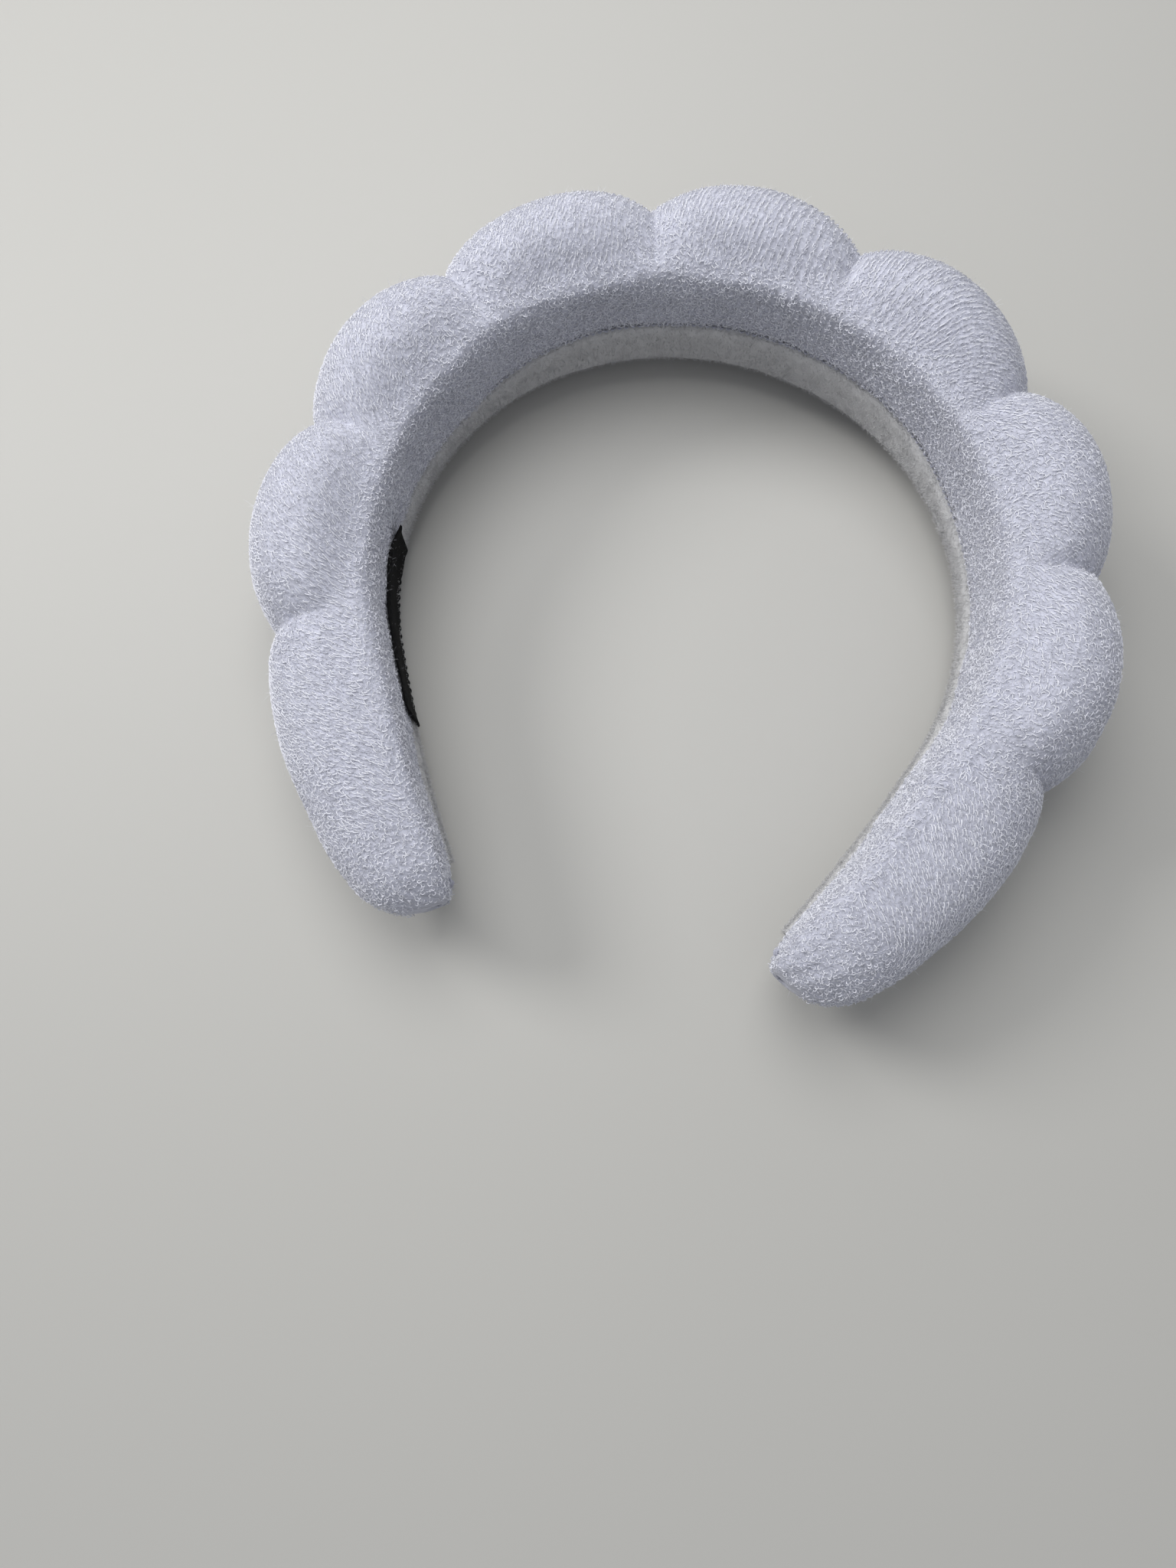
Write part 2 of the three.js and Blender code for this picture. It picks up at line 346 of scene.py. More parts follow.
# ---------------------------------------------------------------------------------------------
# The terry sleeve. One tube of pale lilac-grey knitted terry, drawn over the pads, gathered in at
# each valley and folded in at the tips. It is modelled as two halves that meet over the crown.
# ---------------------------------------------------------------------------------------------
lining_offset = -8.0
lining_width = 13.0
lining_drop = 5.5
seam_room = 0.65
lining_bed = 0.9
stitch_pitch = 1.4
skin_step = 0.56
skin_rounds = 228
tuck_rings = 9
tuck_closing = 0.96
tuck_sink = 0.8
# The ground cloth is the same yarn as the loops, but its colour is painted darker: painted shade in the gaps
# between the loops.
gap_shaded_ground_colour = (0.465, 0.475, 0.555)
loop_colour = (0.75, 0.76, 0.825)


def lattice_noise(points, seed):
    """Smooth noise in -1 to 1 for an array of points, one unit to a cell."""
    cell = np.floor(points).astype(np.int64)
    part = smoothstep(points - cell)
    total = np.zeros(points.shape[:-1])
    for corner in np.ndindex(*(2,) * points.shape[-1]):
        offset = cell + np.array(corner)
        key = seed * 7919
        for axis, prime in zip(range(points.shape[-1]), (73856093, 19349663, 83492791)):
            key = key ^ (offset[..., axis] * prime)
        key = (key * 2654435761) & 0xFFFFFFFF
        key = ((key ^ (key >> 15)) * 2246822519) & 0xFFFFFFFF
        value = ((key ^ (key >> 13)) & 0xFFFFFF) / 0x7FFFFF - 1
        weight = np.ones(points.shape[:-1])
        for axis, at in enumerate(corner):
            weight *= part[..., axis] if at else 1 - part[..., axis]
        total += weight * value
    return total


def lumps(station, angle, length, turns, seed):
    """Noise over the sleeve, with lumps of that length along it and that many to half a turn."""
    turn = np.mod(angle, 2 * math.pi)
    around = np.stack((station / length, np.cos(turn) * turns, np.sin(turn) * turns), -1)
    return lattice_noise(around, seed)


def gather(station, reach=2.6):
    """1 in the bottom of a valley, falling off within a few millimetres along the band."""
    away = np.abs(np.abs(station)[..., None] - valleys)
    return np.exp(-((away.min(-1) / reach) ** 2))


lining_bottom = lining_offset - lining_width / 2


def lining_top(station):
    """Height of the lining's upper edge, which runs lower along the arms than over the crown."""
    drop = lining_drop * smoothstep((np.abs(station) - 30) / 40)
    return lining_offset + lining_width / 2 - drop


def face_height(angle):
    """Height on the side that faces the head, for an angle; far off where it faces away from it."""
    return band_half_width * np.where(np.cos(angle) < 0, squared(np.sin(angle)), 3)


def past_seams(station, angle):
    """Distance from the nearer of the two seams, below 0 between them, where the lining lies."""
    height = face_height(angle)
    return np.maximum(height - lining_top(station), lining_bottom - height) - seam_room


def seam_fold(station, angle):
    """How far the sleeve is drawn in along the two seams beside the lining, most at each stitch."""
    pull = 0.75 + 0.25 * np.cos(2 * math.pi * station / stitch_pitch)
    pull = pull * (1 + 0.35 * lattice_noise(np.stack((station / 4, 0 * station), -1), 17))
    return pull * np.exp(-((past_seams(station, angle) / 0.9) ** 2))


def skin(station, angle, above=0.0):
    """The sleeve's ground cloth, with the small unevenness of cloth drawn over foam by hand."""
    depth, height = section(station, angle, 0.0)
    outward, across = np.cos(angle), np.sin(angle)
    rise = 0.45 * lumps(station, angle, 12, 1.3, 3) + 0.2 * lumps(station, angle, 5, 3, 5)
    puckers = lumps(station, angle, 4, 6, 9)
    rise = rise + 0.5 * gather(station) * puckers * smoothstep((outward + 0.6) / 0.8)
    near_tip = smoothstep((np.abs(station) - tip_station + 14) / 14)
    rise = rise * (1 - near_tip) + 0.45 * near_tip * np.cos(11 * angle + 1.3 * puckers)
    covered = smoothstep(-past_seams(station, angle) / 0.4)
    rise = rise * taper(station) * (1 - covered) - lining_bed * covered - seam_fold(station, angle) + above
    depth = depth + rise * outward
    height = height + rise * across * smoothstep((height + middle_height - 0.4) / 2)
    return place(station, depth, height)


def round_angles(count):
    """Angles that lie evenly round the section, and as close together where it turns sharply."""
    half = np.arcsin(np.linspace(0, 1, 60) ** (inner_flatness / 2))
    edge = np.arccos(np.linspace(0, 1, 60) ** (inner_flatness / 2))
    corner = np.concatenate((half, edge))
    angles = np.unique(np.concatenate((np.linspace(0, math.pi / 2, 90), math.pi - corner, math.pi + corner)))
    angles = np.concatenate((angles, np.linspace(1.5 * math.pi, 2 * math.pi, 90)[1:]))
    depth, height = section(np.full(len(angles), 0.3 * valleys[0]), angles, 0.0)
    length = np.concatenate(([0], np.cumsum(np.hypot(np.diff(depth), np.diff(height)))))
    return np.interp(np.linspace(0, length[-1], count), length, angles)


# The shader places lie in the cloth's own millimetres, so the weave follows the sleeve round each bend.
# Its colour is painted darker than the loops' yarn as shade between the loops; the ramp below tones it by the
# pile pattern.
terry, tree, shader = new_material("terry_ground", gap_shaded_ground_colour, 0.95)
shader.inputs["Sheen Weight"].default_value = 0.25
shader.inputs["Sheen Roughness"].default_value = 0.6
shader.inputs["Specular IOR Level"].default_value = 0.1
cloth = node(tree, "ShaderNodeAttribute", attribute_name="cloth")
wobble = node(
    tree, "ShaderNodeTexNoise", [("Vector", cloth.outputs["Vector"]), ("Scale", 0.3), ("Detail", 2.0)]
)
bend = node(
    tree, "ShaderNodeVectorMath", [(0, wobble.outputs["Color"]), (1, (1.6, 1.6, 0))], operation="MULTIPLY"
)
knit = node(
    tree, "ShaderNodeVectorMath", [(0, cloth.outputs["Vector"]), (1, bend.outputs[0])], operation="ADD"
)
wale_place = node(
    tree, "ShaderNodeVectorMath", [(0, knit.outputs[0]), (1, (1.1, 0.3, 1))], operation="MULTIPLY"
)
wales = node(tree, "ShaderNodeTexNoise", [("Vector", wale_place.outputs[0]), ("Scale", 1.0), ("Detail", 2.0)])
tufts = node(tree, "ShaderNodeTexVoronoi", [("Vector", knit.outputs[0]), ("Scale", 1.3), ("Randomness", 0.8)])
pile = node(
    tree, "ShaderNodeMix",
    [(0, 0.45), (2, tufts.outputs["Distance"]), (3, wales.outputs["Fac"])], data_type="FLOAT",
)
shades = node(tree, "ShaderNodeValToRGB", [("Fac", pile.outputs[0])])
for element, position, share in zip(shades.color_ramp.elements, (0.25, 0.7), (0.8, 1.2)):
    element.position = position
    element.color = (*(share * c for c in gap_shaded_ground_colour), 1)
bump = node(tree, "ShaderNodeBump", [("Strength", 0.6), ("Distance", 0.0004), ("Height", pile.outputs[0])])
tree.links.new(shades.outputs["Color"], shader.inputs["Base Color"])
tree.links.new(bump.outputs["Normal"], shader.inputs["Normal"])


def lay_flat(piece, corners):
    """The piece's flat pattern: a place in a unit square for each corner of each face."""
    layer = piece.data.uv_layers.new(name="OFBake")
    layer.uv.foreach_set("vector", np.asarray(corners, np.float32).ravel())


def sleeve_half(name, side):
    count = int(tip_station / skin_step)
    stations = side * (tip_station - 0.01) * np.linspace(0, 1, count)
    station, angle = np.meshgrid(stations, round_angles(skin_rounds + 1)[:-1], indexing="ij")
    points = skin(station, angle)
    end = points[-1]
    middle = end.mean(0)
    inwards = place(side * np.array([tip_station - 4.0]), np.array([2.0]), np.zeros(1))[0] - middle
    fold = np.linspace(0, 1, tuck_rings + 1)[1:, None, None]
    tuck = middle + (end - middle) * (1 - tuck_closing * fold)
    tuck = tuck + inwards * tuck_sink * smoothstep((fold - 0.3) / 0.7)
    points = np.concatenate((points, tuck))
    rows = count + tuck_rings
    steps = np.linalg.norm(np.diff(points, axis=1), axis=-1) / MM
    rounds = np.concatenate((np.zeros((rows, 1)), np.cumsum(steps, axis=1)), axis=1)
    along = side * np.arange(rows)[:, None] * skin_step + 0 * rounds
    faces = grid_faces(rows, skin_rounds, close_columns=True)
    if side > 0:
        faces = faces[:, ::-1]
    half = mesh_piece(name, points, faces, terry)
    row, column = np.divmod(faces, skin_rounds)
    wrapped = (column == 0) & (column.max(1, keepdims=True) == skin_rounds - 1)
    lay_flat(half, np.stack((row / (rows - 1), (column + skin_rounds * wrapped) / skin_rounds), -1))
    cloth_place = half.data.attributes.new("cloth", "FLOAT_VECTOR", "POINT")
    places = np.stack((along, rounds, 0 * rounds), -1)
    cloth_place.data.foreach_set("vector", places.astype(np.float32).ravel())
    return half


sides = (("left", -1), ("right", 1))
for name, side in sides:
    half = sleeve_half(f"terry_sleeve_{name}", side)
    covers = [f"cover_puff_{4 + side * i}" for i in range(4)]
    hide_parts(*covers, f"cover_tail_{name}", f"tail_tuck_{name}")
    bend_with_arm(half, side)


# ---------------------------------------------------------------------------------------------
# The terry loops. Each is a short curl of soft yarn knitted into the sleeve. Over the tops of the
# puffs they are combed flat into fine ribs, and on the band's inner wall they stand as open rings.
# ---------------------------------------------------------------------------------------------
wale_pitch = 0.72
course_pitch = 0.62
loop_radius = 0.34
yarn_width = 0.15
loop_bends = 6
rib_slant = 0.72

yarn, tree, shader = new_material("terry_yarn", loop_colour, 0.9)
shader.inputs["Sheen Weight"].default_value = 0.3
shader.inputs["Sheen Roughness"].default_value = 0.5
shader.inputs["Specular IOR Level"].default_value = 0.15
soil = node(tree, "ShaderNodeTexNoise", [("Scale", 120.0), ("Detail", 4.0)])
fleck = node(tree, "ShaderNodeTexNoise", [("Scale", 1500.0), ("Detail", 1.0)])
both = node(
    tree, "ShaderNodeMix", [(0, 0.6), (2, soil.outputs["Fac"]), (3, fleck.outputs["Fac"])], data_type="FLOAT"
)
shades = node(tree, "ShaderNodeValToRGB", [("Fac", both.outputs[0])])
for element, position, share in zip(shades.color_ramp.elements, (0.3, 0.7), (0.86, 1.1)):
    element.position = position
    element.color = (*(share * c for c in loop_colour), 1)
tree.links.new(shades.outputs["Color"], shader.inputs["Base Color"])


def unit(vectors):
    return vectors / np.linalg.norm(vectors, axis=-1, keepdims=True)


def local_frame(station, angle):
    """On the sleeve: the point, and the directions along the band, round it and out of it."""
    here = skin(station, angle)
    along = unit(skin(station + 0.2, angle) - here)
    around = unit(skin(station, angle + 0.01) - here)
    outwards = unit(np.cross(around, along))
    return here, along, around, outwards


def rib_way(station, angle):
    """Direction of the knitted ribs on the sleeve: square to the hoop at the crown, slanted on the arms."""
    slant = rib_slant * smoothstep((np.abs(station) - 12) / 42) + 0.3 * lumps(station, angle, 30, 0.8, 23)
    _, along, around, _ = local_frame(station, angle)
    return np.cos(slant)[:, None] * around - np.sin(slant)[:, None] * along


def spots_on_sleeve(side, seed):
    """Stations and angles of the loops in rows and ribs, evenly spaced over the cloth."""
    random = np.random.default_rng(seed)
    found = []
    angles = round_angles(541)
    for station in np.arange(wale_pitch / 2, tip_station - 0.8, wale_pitch):
        line = skin(np.full(len(angles), side * station), angles) / MM
        length = np.concatenate(([0], np.cumsum(np.linalg.norm(np.diff(line, axis=0), axis=1))))
        count = int(length[-1] / course_pitch)
        spots = (np.arange(count) + random.uniform(0, 1)) * length[-1] / count
        spots = spots + random.normal(0, 0.1, count)
        top = np.array([side * station]), np.array([0.4 * math.pi])
        _, along, around, _ = local_frame(*top)
        way = rib_way(*top)
        slant = np.clip((way * along).sum() / (way * around).sum(), -2.5, 2.5)
        shift = (np.arange(count) * course_pitch * slant) % wale_pitch - 0.5 * wale_pitch
        found.append(np.stack((side * station + shift + random.normal(0, 0.08, count),
                               np.interp(spots % length[-1], length, angles)), -1))
    spots = np.concatenate(found)
    bare = (past_seams(*spots.T) > -0.15) | (np.abs(spots[:, 0]) > tip_station - tip_round_length)
    return spots[bare], random


def ribbons(name, middles, widths, material, tones=None):
    """Many short ribbons in one mesh, from the middle line and half width of each at its bends."""
    count, bends = middles.shape[:2]
    points = np.stack((middles - widths, middles + widths), 2)
    first = np.arange(count)[:, None] * bends * 2 + 2 * np.arange(bends - 1)[None]
    faces = np.stack((first, first + 1, first + 3, first + 2), -1).reshape(-1, 4)
    piece = mesh_piece(name, points, faces, material)
    cells = math.ceil(math.sqrt(count))
    at = np.stack(np.divmod(np.arange(count), cells), -1)[:, None, None]
    step = np.arange(bends - 1)[:, None] + np.array([0, 0, 1, 1])
    inside = np.stack((np.broadcast_to([0.1, 0.9, 0.9, 0.1], step.shape), 0.1 + 0.8 * step / (bends - 1)), -1)
    lay_flat(piece, (at + inside[None]) / cells)
    return piece


def terry_loops(name, side, seed, low, high):
    """Loops of one half of the sleeve, on one sector of it, between two angles."""
    spots, random = spots_on_sleeve(side, seed)
    spots = spots[(spots[:, 1] >= low) & (spots[:, 1] < high)]
    station, angle = spots.T
    here, _, _, outwards = local_frame(station, angle)
    count = len(spots)
    patchy = smoothstep(0.85 + 0.5 * lumps(station, angle, 16, 1.2, 21))
    combed = smoothstep((np.cos(angle) + 0.4) / 0.45) * patchy
    combed = np.where(np.abs(station) > tip_station - 16, 0.2 * combed, combed)
    way = rib_way(station, angle)
    loose_swing = random.uniform(-math.pi, math.pi, count)
    swing = loose_swing * (1 - combed) + random.normal(0, 0.15, count) * combed
    flat_way = np.cos(swing)[:, None] * way + np.sin(swing)[:, None] * np.cross(outwards, way)
    side_way = np.cross(flat_way, outwards) * random.choice((-1, 1), count)[:, None]
    loose_tilt = random.normal(0.55, 0.3, count)
    tilt = loose_tilt * (1 - combed) + random.normal(0.9, 0.25, count) * combed
    up_way = outwards * np.sin(tilt)[:, None] + side_way * np.cos(tilt)[:, None]
    plump = 1 + 0.45 * np.exp(-((past_seams(station, angle) / 1.2) ** 2)) - 0.35 * gather(station, 1.6)
    long = loop_radius * plump * (1 + 0.75 * combed) * random.uniform(0.8, 1.25, count)
    tall = loop_radius * plump * (1 - 0.5 * combed) * random.uniform(0.75, 1.3, count)
    turn = np.linspace(-2.45, 2.45, loop_bends)
    sine, cosine = np.sin(turn)[None, :, None], np.cos(turn)[None, :, None]
    reach = (sine * long[:, None, None]) * flat_way[:, None]
    rise = ((cosine + 0.35) * tall[:, None, None]) * up_way[:, None] + 0.12 * outwards[:, None]
    middles = here[:, None] + (reach + rise) * MM
    middles[..., 2] = np.maximum(middles[..., 2], 0.0002)
    radial = unit(sine * flat_way[:, None] + cosine * up_way[:, None])
    across = unit(0.8 * radial + 0.6 * np.cross(flat_way, up_way)[:, None])
    widths = across * (0.5 * yarn_width * MM) * random.uniform(0.8, 1.2, (count, 1, 1))
    return ribbons(name, middles, widths, yarn)


for name, side in sides:
    for part, low, high in (("front", 0, 0.5 * math.pi), ("face", 0.5 * math.pi, 1.5 * math.pi),
                            ("back", 1.5 * math.pi, 2 * math.pi)):
        loops = terry_loops(f"terry_loops_{name}_{part}", side, 11 + side, low, high)
        bend_with_arm(loops, side)


# ---------------------------------------------------------------------------------------------
# Loose fibres. Fine ends of yarn that stand off the terry everywhere and soften its outline.
# ---------------------------------------------------------------------------------------------
fibre_count = 13000
fibre_width = 0.055


def loose_fibres(name, side, seed):
    spots, random = spots_on_sleeve(side, seed)
    spots = spots[random.permutation(len(spots))[:fibre_count]]
    here, along, around, outwards = local_frame(*spots.T)
    swing = random.uniform(0, 2 * math.pi, fibre_count)[:, None]
    way = np.cos(swing) * along + np.sin(swing) * around
    length = random.gamma(3.0, 0.27, fibre_count)[:, None, None]
    part = np.linspace(0, 1, 4)[None, :, None]
    bow = random.normal(0, 0.5, (fibre_count, 1, 1))
    middles = here[:, None] + MM * length * (
        part * outwards[:, None] * 0.7 + part**2 * way[:, None] * (0.7 + bow)
    )
    middles[..., 2] = np.maximum(middles[..., 2], 0.0002)
    widths = unit(np.cross(way, outwards))[:, None] * (0.5 * fibre_width * MM) * (1 - 0.6 * part)
    return ribbons(name, middles, widths, yarn)


for name, side in sides:
    fibres = loose_fibres(f"loose_fibres_{name}", side, 31 + side)
    bend_with_arm(fibres, side)


# ---------------------------------------------------------------------------------------------
# The lining. A strip of short brushed pile sewn along the side that faces the head, where it
# closes the sleeve. It is stretched along the hoop from one folded tip to the other.
# ---------------------------------------------------------------------------------------------
lining_thickness = 1.2
lining_bulge = 0.8
nap_count = 15000
nap_width = 0.12
lining_end = tip_station - tip_round_length - 0.2
lining_colour = (0.73, 0.73, 0.745)

brushed, tree, shader = new_material("brushed_lining", lining_colour, 0.9)
shader.inputs["Sheen Weight"].default_value = 0.3
shader.inputs["Specular IOR Level"].default_value = 0.15
nap = node(tree, "ShaderNodeTexNoise", [("Scale", 1300.0), ("Detail", 4.0), ("Roughness", 0.65)])
drift = node(tree, "ShaderNodeTexNoise", [("Scale", 160.0), ("Detail", 3.0)])
both = node(
    tree, "ShaderNodeMix", [(0, 0.45), (2, nap.outputs["Fac"]), (3, drift.outputs["Fac"])], data_type="FLOAT"
)
shades = node(tree, "ShaderNodeValToRGB", [("Fac", both.outputs[0])])
for element, position, share in zip(shades.color_ramp.elements, (0.3, 0.7), (0.85, 1.12)):
    element.position = position
    element.color = (*(share * c for c in lining_colour), 1)
bump = node(tree, "ShaderNodeBump", [("Strength", 0.6), ("Distance", 0.0004), ("Height", nap.outputs["Fac"])])
tree.links.new(shades.outputs["Color"], shader.inputs["Base Color"])
tree.links.new(bump.outputs["Normal"], shader.inputs["Normal"])


def face_place(station, height, above):
    """A point on the side that faces the head, above the surface towards the head."""
    angle = face_angle(height)
    depth, level = section(station, angle, -above)
    return place(station, depth, level)


def lining_half(name, side):
    """A thin closed strip: its brushed face over its back, with both long edges turned in."""
    columns = 26
    stations = np.concatenate(([0, 0.02], np.linspace(0.6, lining_end, 258)))[:, None] * side
    share = np.linspace(-1, 1, columns)[None]
    height = lining_bottom + (0.5 + 0.51 * share) * (lining_top(stations) - lining_bottom)
    bulge = lining_bulge * np.clip(1 - share**6, 0, 1) - 0.25
    nap = 0.12 * lattice_noise(np.stack((stations / 1.7 + 0 * share, height / 1.7), -1), 41)
    front = face_place(stations + 0 * share, height, bulge + nap)
    back = face_place(stations + 0 * share, height, -lining_thickness + 0 * height)
    points = np.concatenate((front, back[:, ::-1]), axis=1)
    faces = closed_tube(260, 2 * columns)
    if side < 0:
        faces = [face[::-1] for face in faces]
    return mesh_piece(name, points, faces, brushed)


def nap_fibres(name, side, seed):
    """The brushed pile itself: short fine hairs over the lining."""
    random, count = np.random.default_rng(seed), nap_count
    station = side * random.uniform(0, lining_end, count)
    share = np.clip(random.uniform(-1.15, 1.15, count), -1, 1)
    height = lining_bottom + (0.5 + 0.5 * share) * (lining_top(station) - lining_bottom)
    above = lining_bulge * (1 - share**6) - 0.35
    root = face_place(station, height, above)
    lift = unit(face_place(station, height, above + 1) - root)
    along = unit(face_place(station + 0.3, height, above) - root)
    around = unit(np.cross(lift, along))
    swing = random.uniform(0, 2 * math.pi, count)[:, None]
    way = np.cos(swing) * along + np.sin(swing) * around
    length = random.uniform(0.45, 1.0, count)[:, None, None]
    part = np.linspace(0, 1, 3)[None, :, None]
    middles = root[:, None] + MM * length * (part * lift[:, None] * 0.8 + part**2 * way[:, None] * 0.8)
    middles[..., 2] = np.maximum(middles[..., 2], 0.0002)
    widths = unit(np.cross(way, lift))[:, None] * (0.5 * nap_width * MM) * (1 - 0.5 * part)
    return ribbons(name, middles, widths, brushed)


for name, side in sides:
    half = lining_half(f"lining_{name}", side)
    nap = nap_fibres(f"lining_nap_{name}", side, 51 + side)
    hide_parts("lining_strip")
    for piece in (half, nap):
        bend_with_arm(piece, side)


# ---------------------------------------------------------------------------------------------
# The seams. A row of small machine stitches along each edge of the lining pulls the terry down
# to it, and a few hand stitches hold each folded tip shut.
# ---------------------------------------------------------------------------------------------
thread_width = 0.42
stitch_length = 1.05
thread_colour = (0.46, 0.47, 0.56)

thread, tree, shader = new_material("sewing_thread", thread_colour, 0.7)
twist = node(tree, "ShaderNodeTexNoise", [("Scale", 2500.0), ("Detail", 2.0)])
bump = node(
    tree, "ShaderNodeBump", [("Strength", 0.5), ("Distance", 0.0001), ("Height", twist.outputs["Fac"])]
)
tree.links.new(bump.outputs["Normal"], shader.inputs["Normal"])


def stitches(name, starts, ends, lifts, width, material):
    """A row of stitches: short bowed threads, each a closed six-sided tube that dives at both ends."""
    starts, ends, lifts = (np.asarray(v)[:, None, None] for v in (starts, ends, lifts))
    part = np.linspace(0, 1, 7)[None, :, None]
    bow = np.sin(math.pi * part)
    line = starts + (ends - starts) * part
    line = line + lifts * (bow - 0.35)
    way = unit(ends - starts)
    sideways = unit(np.cross(way, lifts))
    upwards = unit(np.cross(sideways, way))
    turn = np.linspace(0, 2 * math.pi, 6, endpoint=False)[None, None, :, None]
    thick = (0.35 + 0.65 * bow**0.5) * width * MM / 2
    ring = np.cos(turn) * sideways[:, :, None] + np.sin(turn) * upwards[:, :, None]
    points = line.reshape(len(starts), 7, 1, 3) + ring * thick.reshape(1, 7, 1, 1)
    one = closed_tube(7, 6)
    faces = [[corner + 42 * i for corner in face] for i in range(len(starts)) for face in one]
    return mesh_piece(name, points, faces, material)


def seam_stitches(name, side, edge):
    along = np.arange(1, int((lining_end - 1) / stitch_pitch)) * stitch_pitch
    level = np.full(len(along), lining_bottom - seam_room)
    if edge == "upper":
        level = lining_top(along) + seam_room
    first, last = side * (along - stitch_length / 2), side * (along + stitch_length / 2)
    starts, ends = (face_place(station, level, np.full(len(along), -0.45)) for station in (first, last))
    lifts = face_place(side * along, level, np.full(len(along), -0.1)) - 0.5 * (starts + ends)
    return stitches(name, starts, ends, lifts, thread_width, thread)


for name, side in sides:
    for edge in ("upper", "lower"):
        row = seam_stitches(f"seam_stitches_{edge}_{name}", side, edge)
        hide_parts(f"seam_thread_{edge}")
        bend_with_arm(row, side)

tail_stitch_count = 5
for name, side in sides:
    station = np.full(tail_stitch_count, side * (tip_station - 3.4))
    level = np.linspace(-3.2, 3.2, tail_stitch_count)
    starts = face_place(station + side * 0.8, level, np.full(tail_stitch_count, 0.2))
    ends = face_place(station - side * 0.8, level + 0.5, np.full(tail_stitch_count, 0.2))
    lifts = face_place(station, level, np.full(tail_stitch_count, 0.7)) - 0.5 * (starts + ends)
    bar = stitches(f"tail_stitches_{name}", starts, ends, lifts, thread_width, thread)
    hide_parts(f"tail_stitch_{name}")
    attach(bar, f"{name}_arm")


# ---------------------------------------------------------------------------------------------
# The label. A plain black woven tape sewn over the lining on the left arm with black thread along
# its two long edges. Its ends are folded under, and one corner has lifted a little.
# ---------------------------------------------------------------------------------------------
label_setback = 11.0
label_length = 39.0
label_offset = -5.2
label_height = 14.6
label_thickness = 0.6
label_gap = 0.6
label_colour = (0.006, 0.006, 0.007)
label_start = valleys[2] + label_setback

tape, tree, shader = new_material("woven_tape", label_colour, 0.85)
shader.inputs["Specular IOR Level"].default_value = 0.12
weave = node(tree, "ShaderNodeAttribute", attribute_name="cloth")
picks = node(
    tree, "ShaderNodeTexWave", [("Vector", weave.outputs["Vector"]), ("Scale", 0.75), ("Distortion", 0.4)],
    bands_direction="X",
)
ends_wave = node(
    tree, "ShaderNodeTexWave", [("Vector", weave.outputs["Vector"]), ("Scale", 0.75), ("Distortion", 0.4)],
    bands_direction="Y",
)
grid = node(
    tree, "ShaderNodeMath", [(0, picks.outputs["Fac"]), (1, ends_wave.outputs["Fac"])], operation="MULTIPLY"
)
# The ramp paints the raised crossings of the weave up to twice as bright: the weave's own pattern, with a
# painted highlight for the glint of its sheen.
shades = node(tree, "ShaderNodeValToRGB", [("Fac", grid.outputs[0])])
for element, position, share in zip(shades.color_ramp.elements, (0.2, 0.9), (0.5, 2.0)):
    element.position = position
    element.color = (*(share * c for c in label_colour), 1)
bump = node(tree, "ShaderNodeBump", [("Strength", 0.8), ("Distance", 0.0002), ("Height", grid.outputs[0])])
tree.links.new(shades.outputs["Color"], shader.inputs["Base Color"])
tree.links.new(bump.outputs["Normal"], shader.inputs["Normal"])


def woven_label():
    rows, columns = 90, 40
    share = np.linspace(0, 1, rows)[:, None]
    across = np.linspace(-1, 1, columns)[None]
    fold = label_thickness * 0.5 * (np.exp(-((share / 0.03) ** 2)) + np.exp(-(((1 - share) / 0.03) ** 2)))
    ripple = 0.18 * np.sin(share * 23 + across) + 0.25 * lattice_noise(
        np.stack((share * 9 + 0 * across, across * 2 + 0 * share), -1), 61
    )
    corner = 0.9 * smoothstep(1 - share * 7) * smoothstep((across - 0.4) / 0.6)
    above = label_gap + 0.5 * label_thickness + fold + ripple * 0.5 + corner + 0 * across
    edge = np.sqrt(np.clip(1 - np.abs(across) ** 10, 0.02, 1))
    station = -(label_start + share * label_length) + 0 * across
    height = label_offset + across * label_height / 2 + 0 * share
    top = face_place(station, height, above + 0.5 * label_thickness * edge)
    under = face_place(station, height, above - 0.5 * label_thickness * edge)
    points = np.concatenate((top, under[:, ::-1]), axis=1)
    label = mesh_piece("woven_tape_label", points, closed_tube(rows, 2 * columns), tape)
    cloth_place = label.data.attributes.new("cloth", "FLOAT_VECTOR", "POINT")
    level = np.concatenate((height, height[:, ::-1]), axis=1)
    run = np.concatenate((station, station), axis=1)
    cloth_place.data.foreach_set("vector", np.stack((run, level, 0 * run), -1).astype(np.float32).ravel())
    return label


label = woven_label()
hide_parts("woven_label")
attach(label, "left_arm")

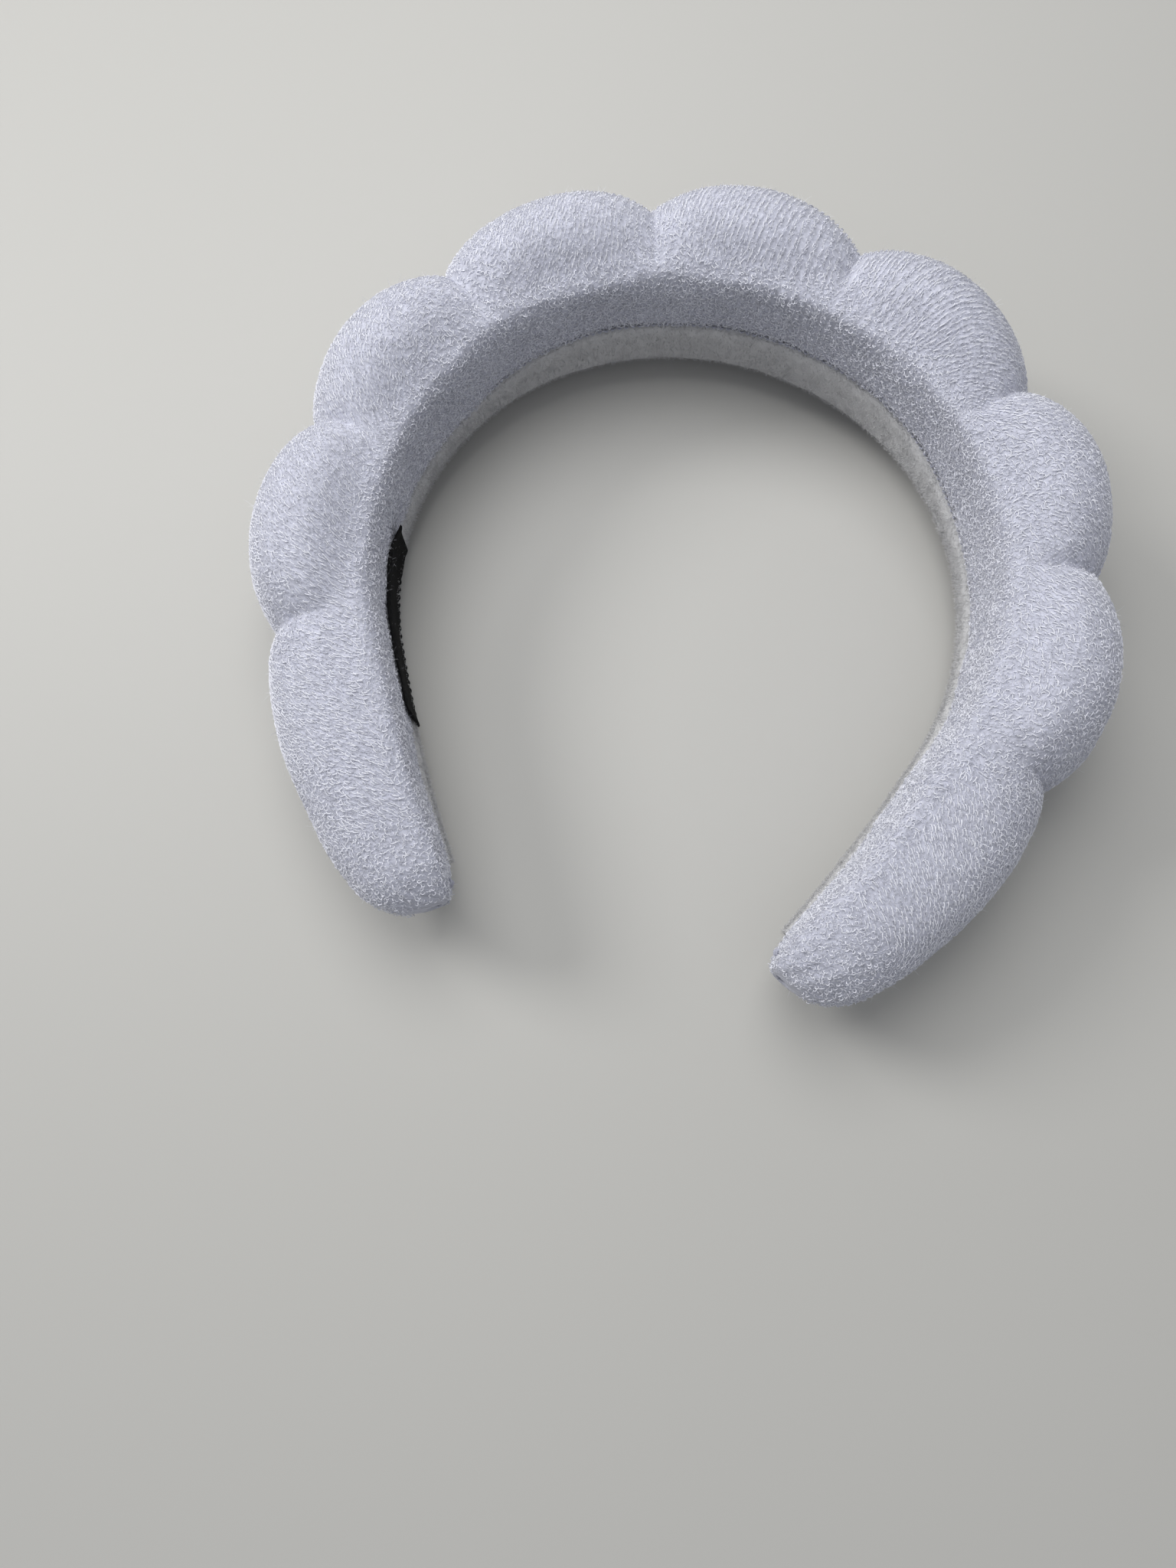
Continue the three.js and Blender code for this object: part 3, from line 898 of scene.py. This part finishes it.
black_thread, tree, shader = new_material("black_thread", (0.014, 0.014, 0.016), 0.8)
shader.inputs["Specular IOR Level"].default_value = 0.15
bump = node(tree, "ShaderNodeBump", [("Strength", 0.5), ("Distance", 0.0001)])
twist = node(tree, "ShaderNodeTexNoise", [("Scale", 2500.0), ("Detail", 2.0)])
tree.links.new(twist.outputs["Fac"], bump.inputs["Height"])
tree.links.new(bump.outputs["Normal"], shader.inputs["Normal"])
label_stitch_inset = 1.7
label_stitch_pitch = 1.7
label_stitch_half_length = 0.6
label_stitch_bow = 0.12
label_thread_width = 0.34
for name, away in (("upper", 1), ("lower", -1)):
    along = np.arange(2.5, label_length - 2, label_stitch_pitch)
    station = -(label_start + along)
    level = np.full(len(along), label_offset + away * (label_height / 2 - label_stitch_inset))
    surface = np.full(len(along), label_gap + label_thickness)
    starts = face_place(station + label_stitch_half_length, level, surface)
    ends = face_place(station - label_stitch_half_length, level, surface)
    lifts = face_place(station, level, surface + label_stitch_bow) - 0.5 * (starts + ends)
    row = stitches(f"label_stitches_{name}", starts, ends, lifts, label_thread_width, black_thread)
    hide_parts(f"label_stitch_{name}")
    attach(row, "left_arm")


# ---------------------------------------------------------------------------------------------
# The table that the band lies on, and the room's light: a soft window on the left, a lamp over the
# crown and a weak fill from the whole room.
# ---------------------------------------------------------------------------------------------
table_material, tree, shader = new_material("pale_table", (0.49, 0.485, 0.465), 0.55)
corners = [(-4, -4, 0), (4, -4, 0), (4, 4, 0), (-4, 4, 0)]
table = mesh_piece("table", corners, [[0, 1, 2, 3]], table_material)


def soft_light(name, place_from, size, power, colour):
    lamp = bpy.data.lights.new(name, "AREA")
    lamp.shape = "DISK"
    lamp.size = size
    lamp.energy = power
    lamp.color = colour
    light = bpy.data.objects.new(name, lamp)
    light.location = place_from
    light.rotation_euler = (-light.location).to_track_quat("-Z", "Y").to_euler()
    bpy.context.collection.objects.link(light)


soft_light("window", (-0.95, 0.25, 0.8), 0.45, 7.2, (1.0, 0.99, 0.97))
soft_light("ceiling", (-0.12, 0.17, 0.5), 0.4, 1.6, (1.0, 0.995, 0.98))
soft_light("room", (0.1, -0.3, 1.3), 1.6, 1.2, (0.98, 0.98, 1.0))
world = bpy.data.worlds.new("room")
world.use_nodes = True
world.node_tree.nodes["Background"].inputs["Color"].default_value = (0.75, 0.77, 0.8, 1)
world.node_tree.nodes["Background"].inputs["Strength"].default_value = 0.43
bpy.context.scene.world = world
bpy.context.scene.view_settings.view_transform = "Standard"
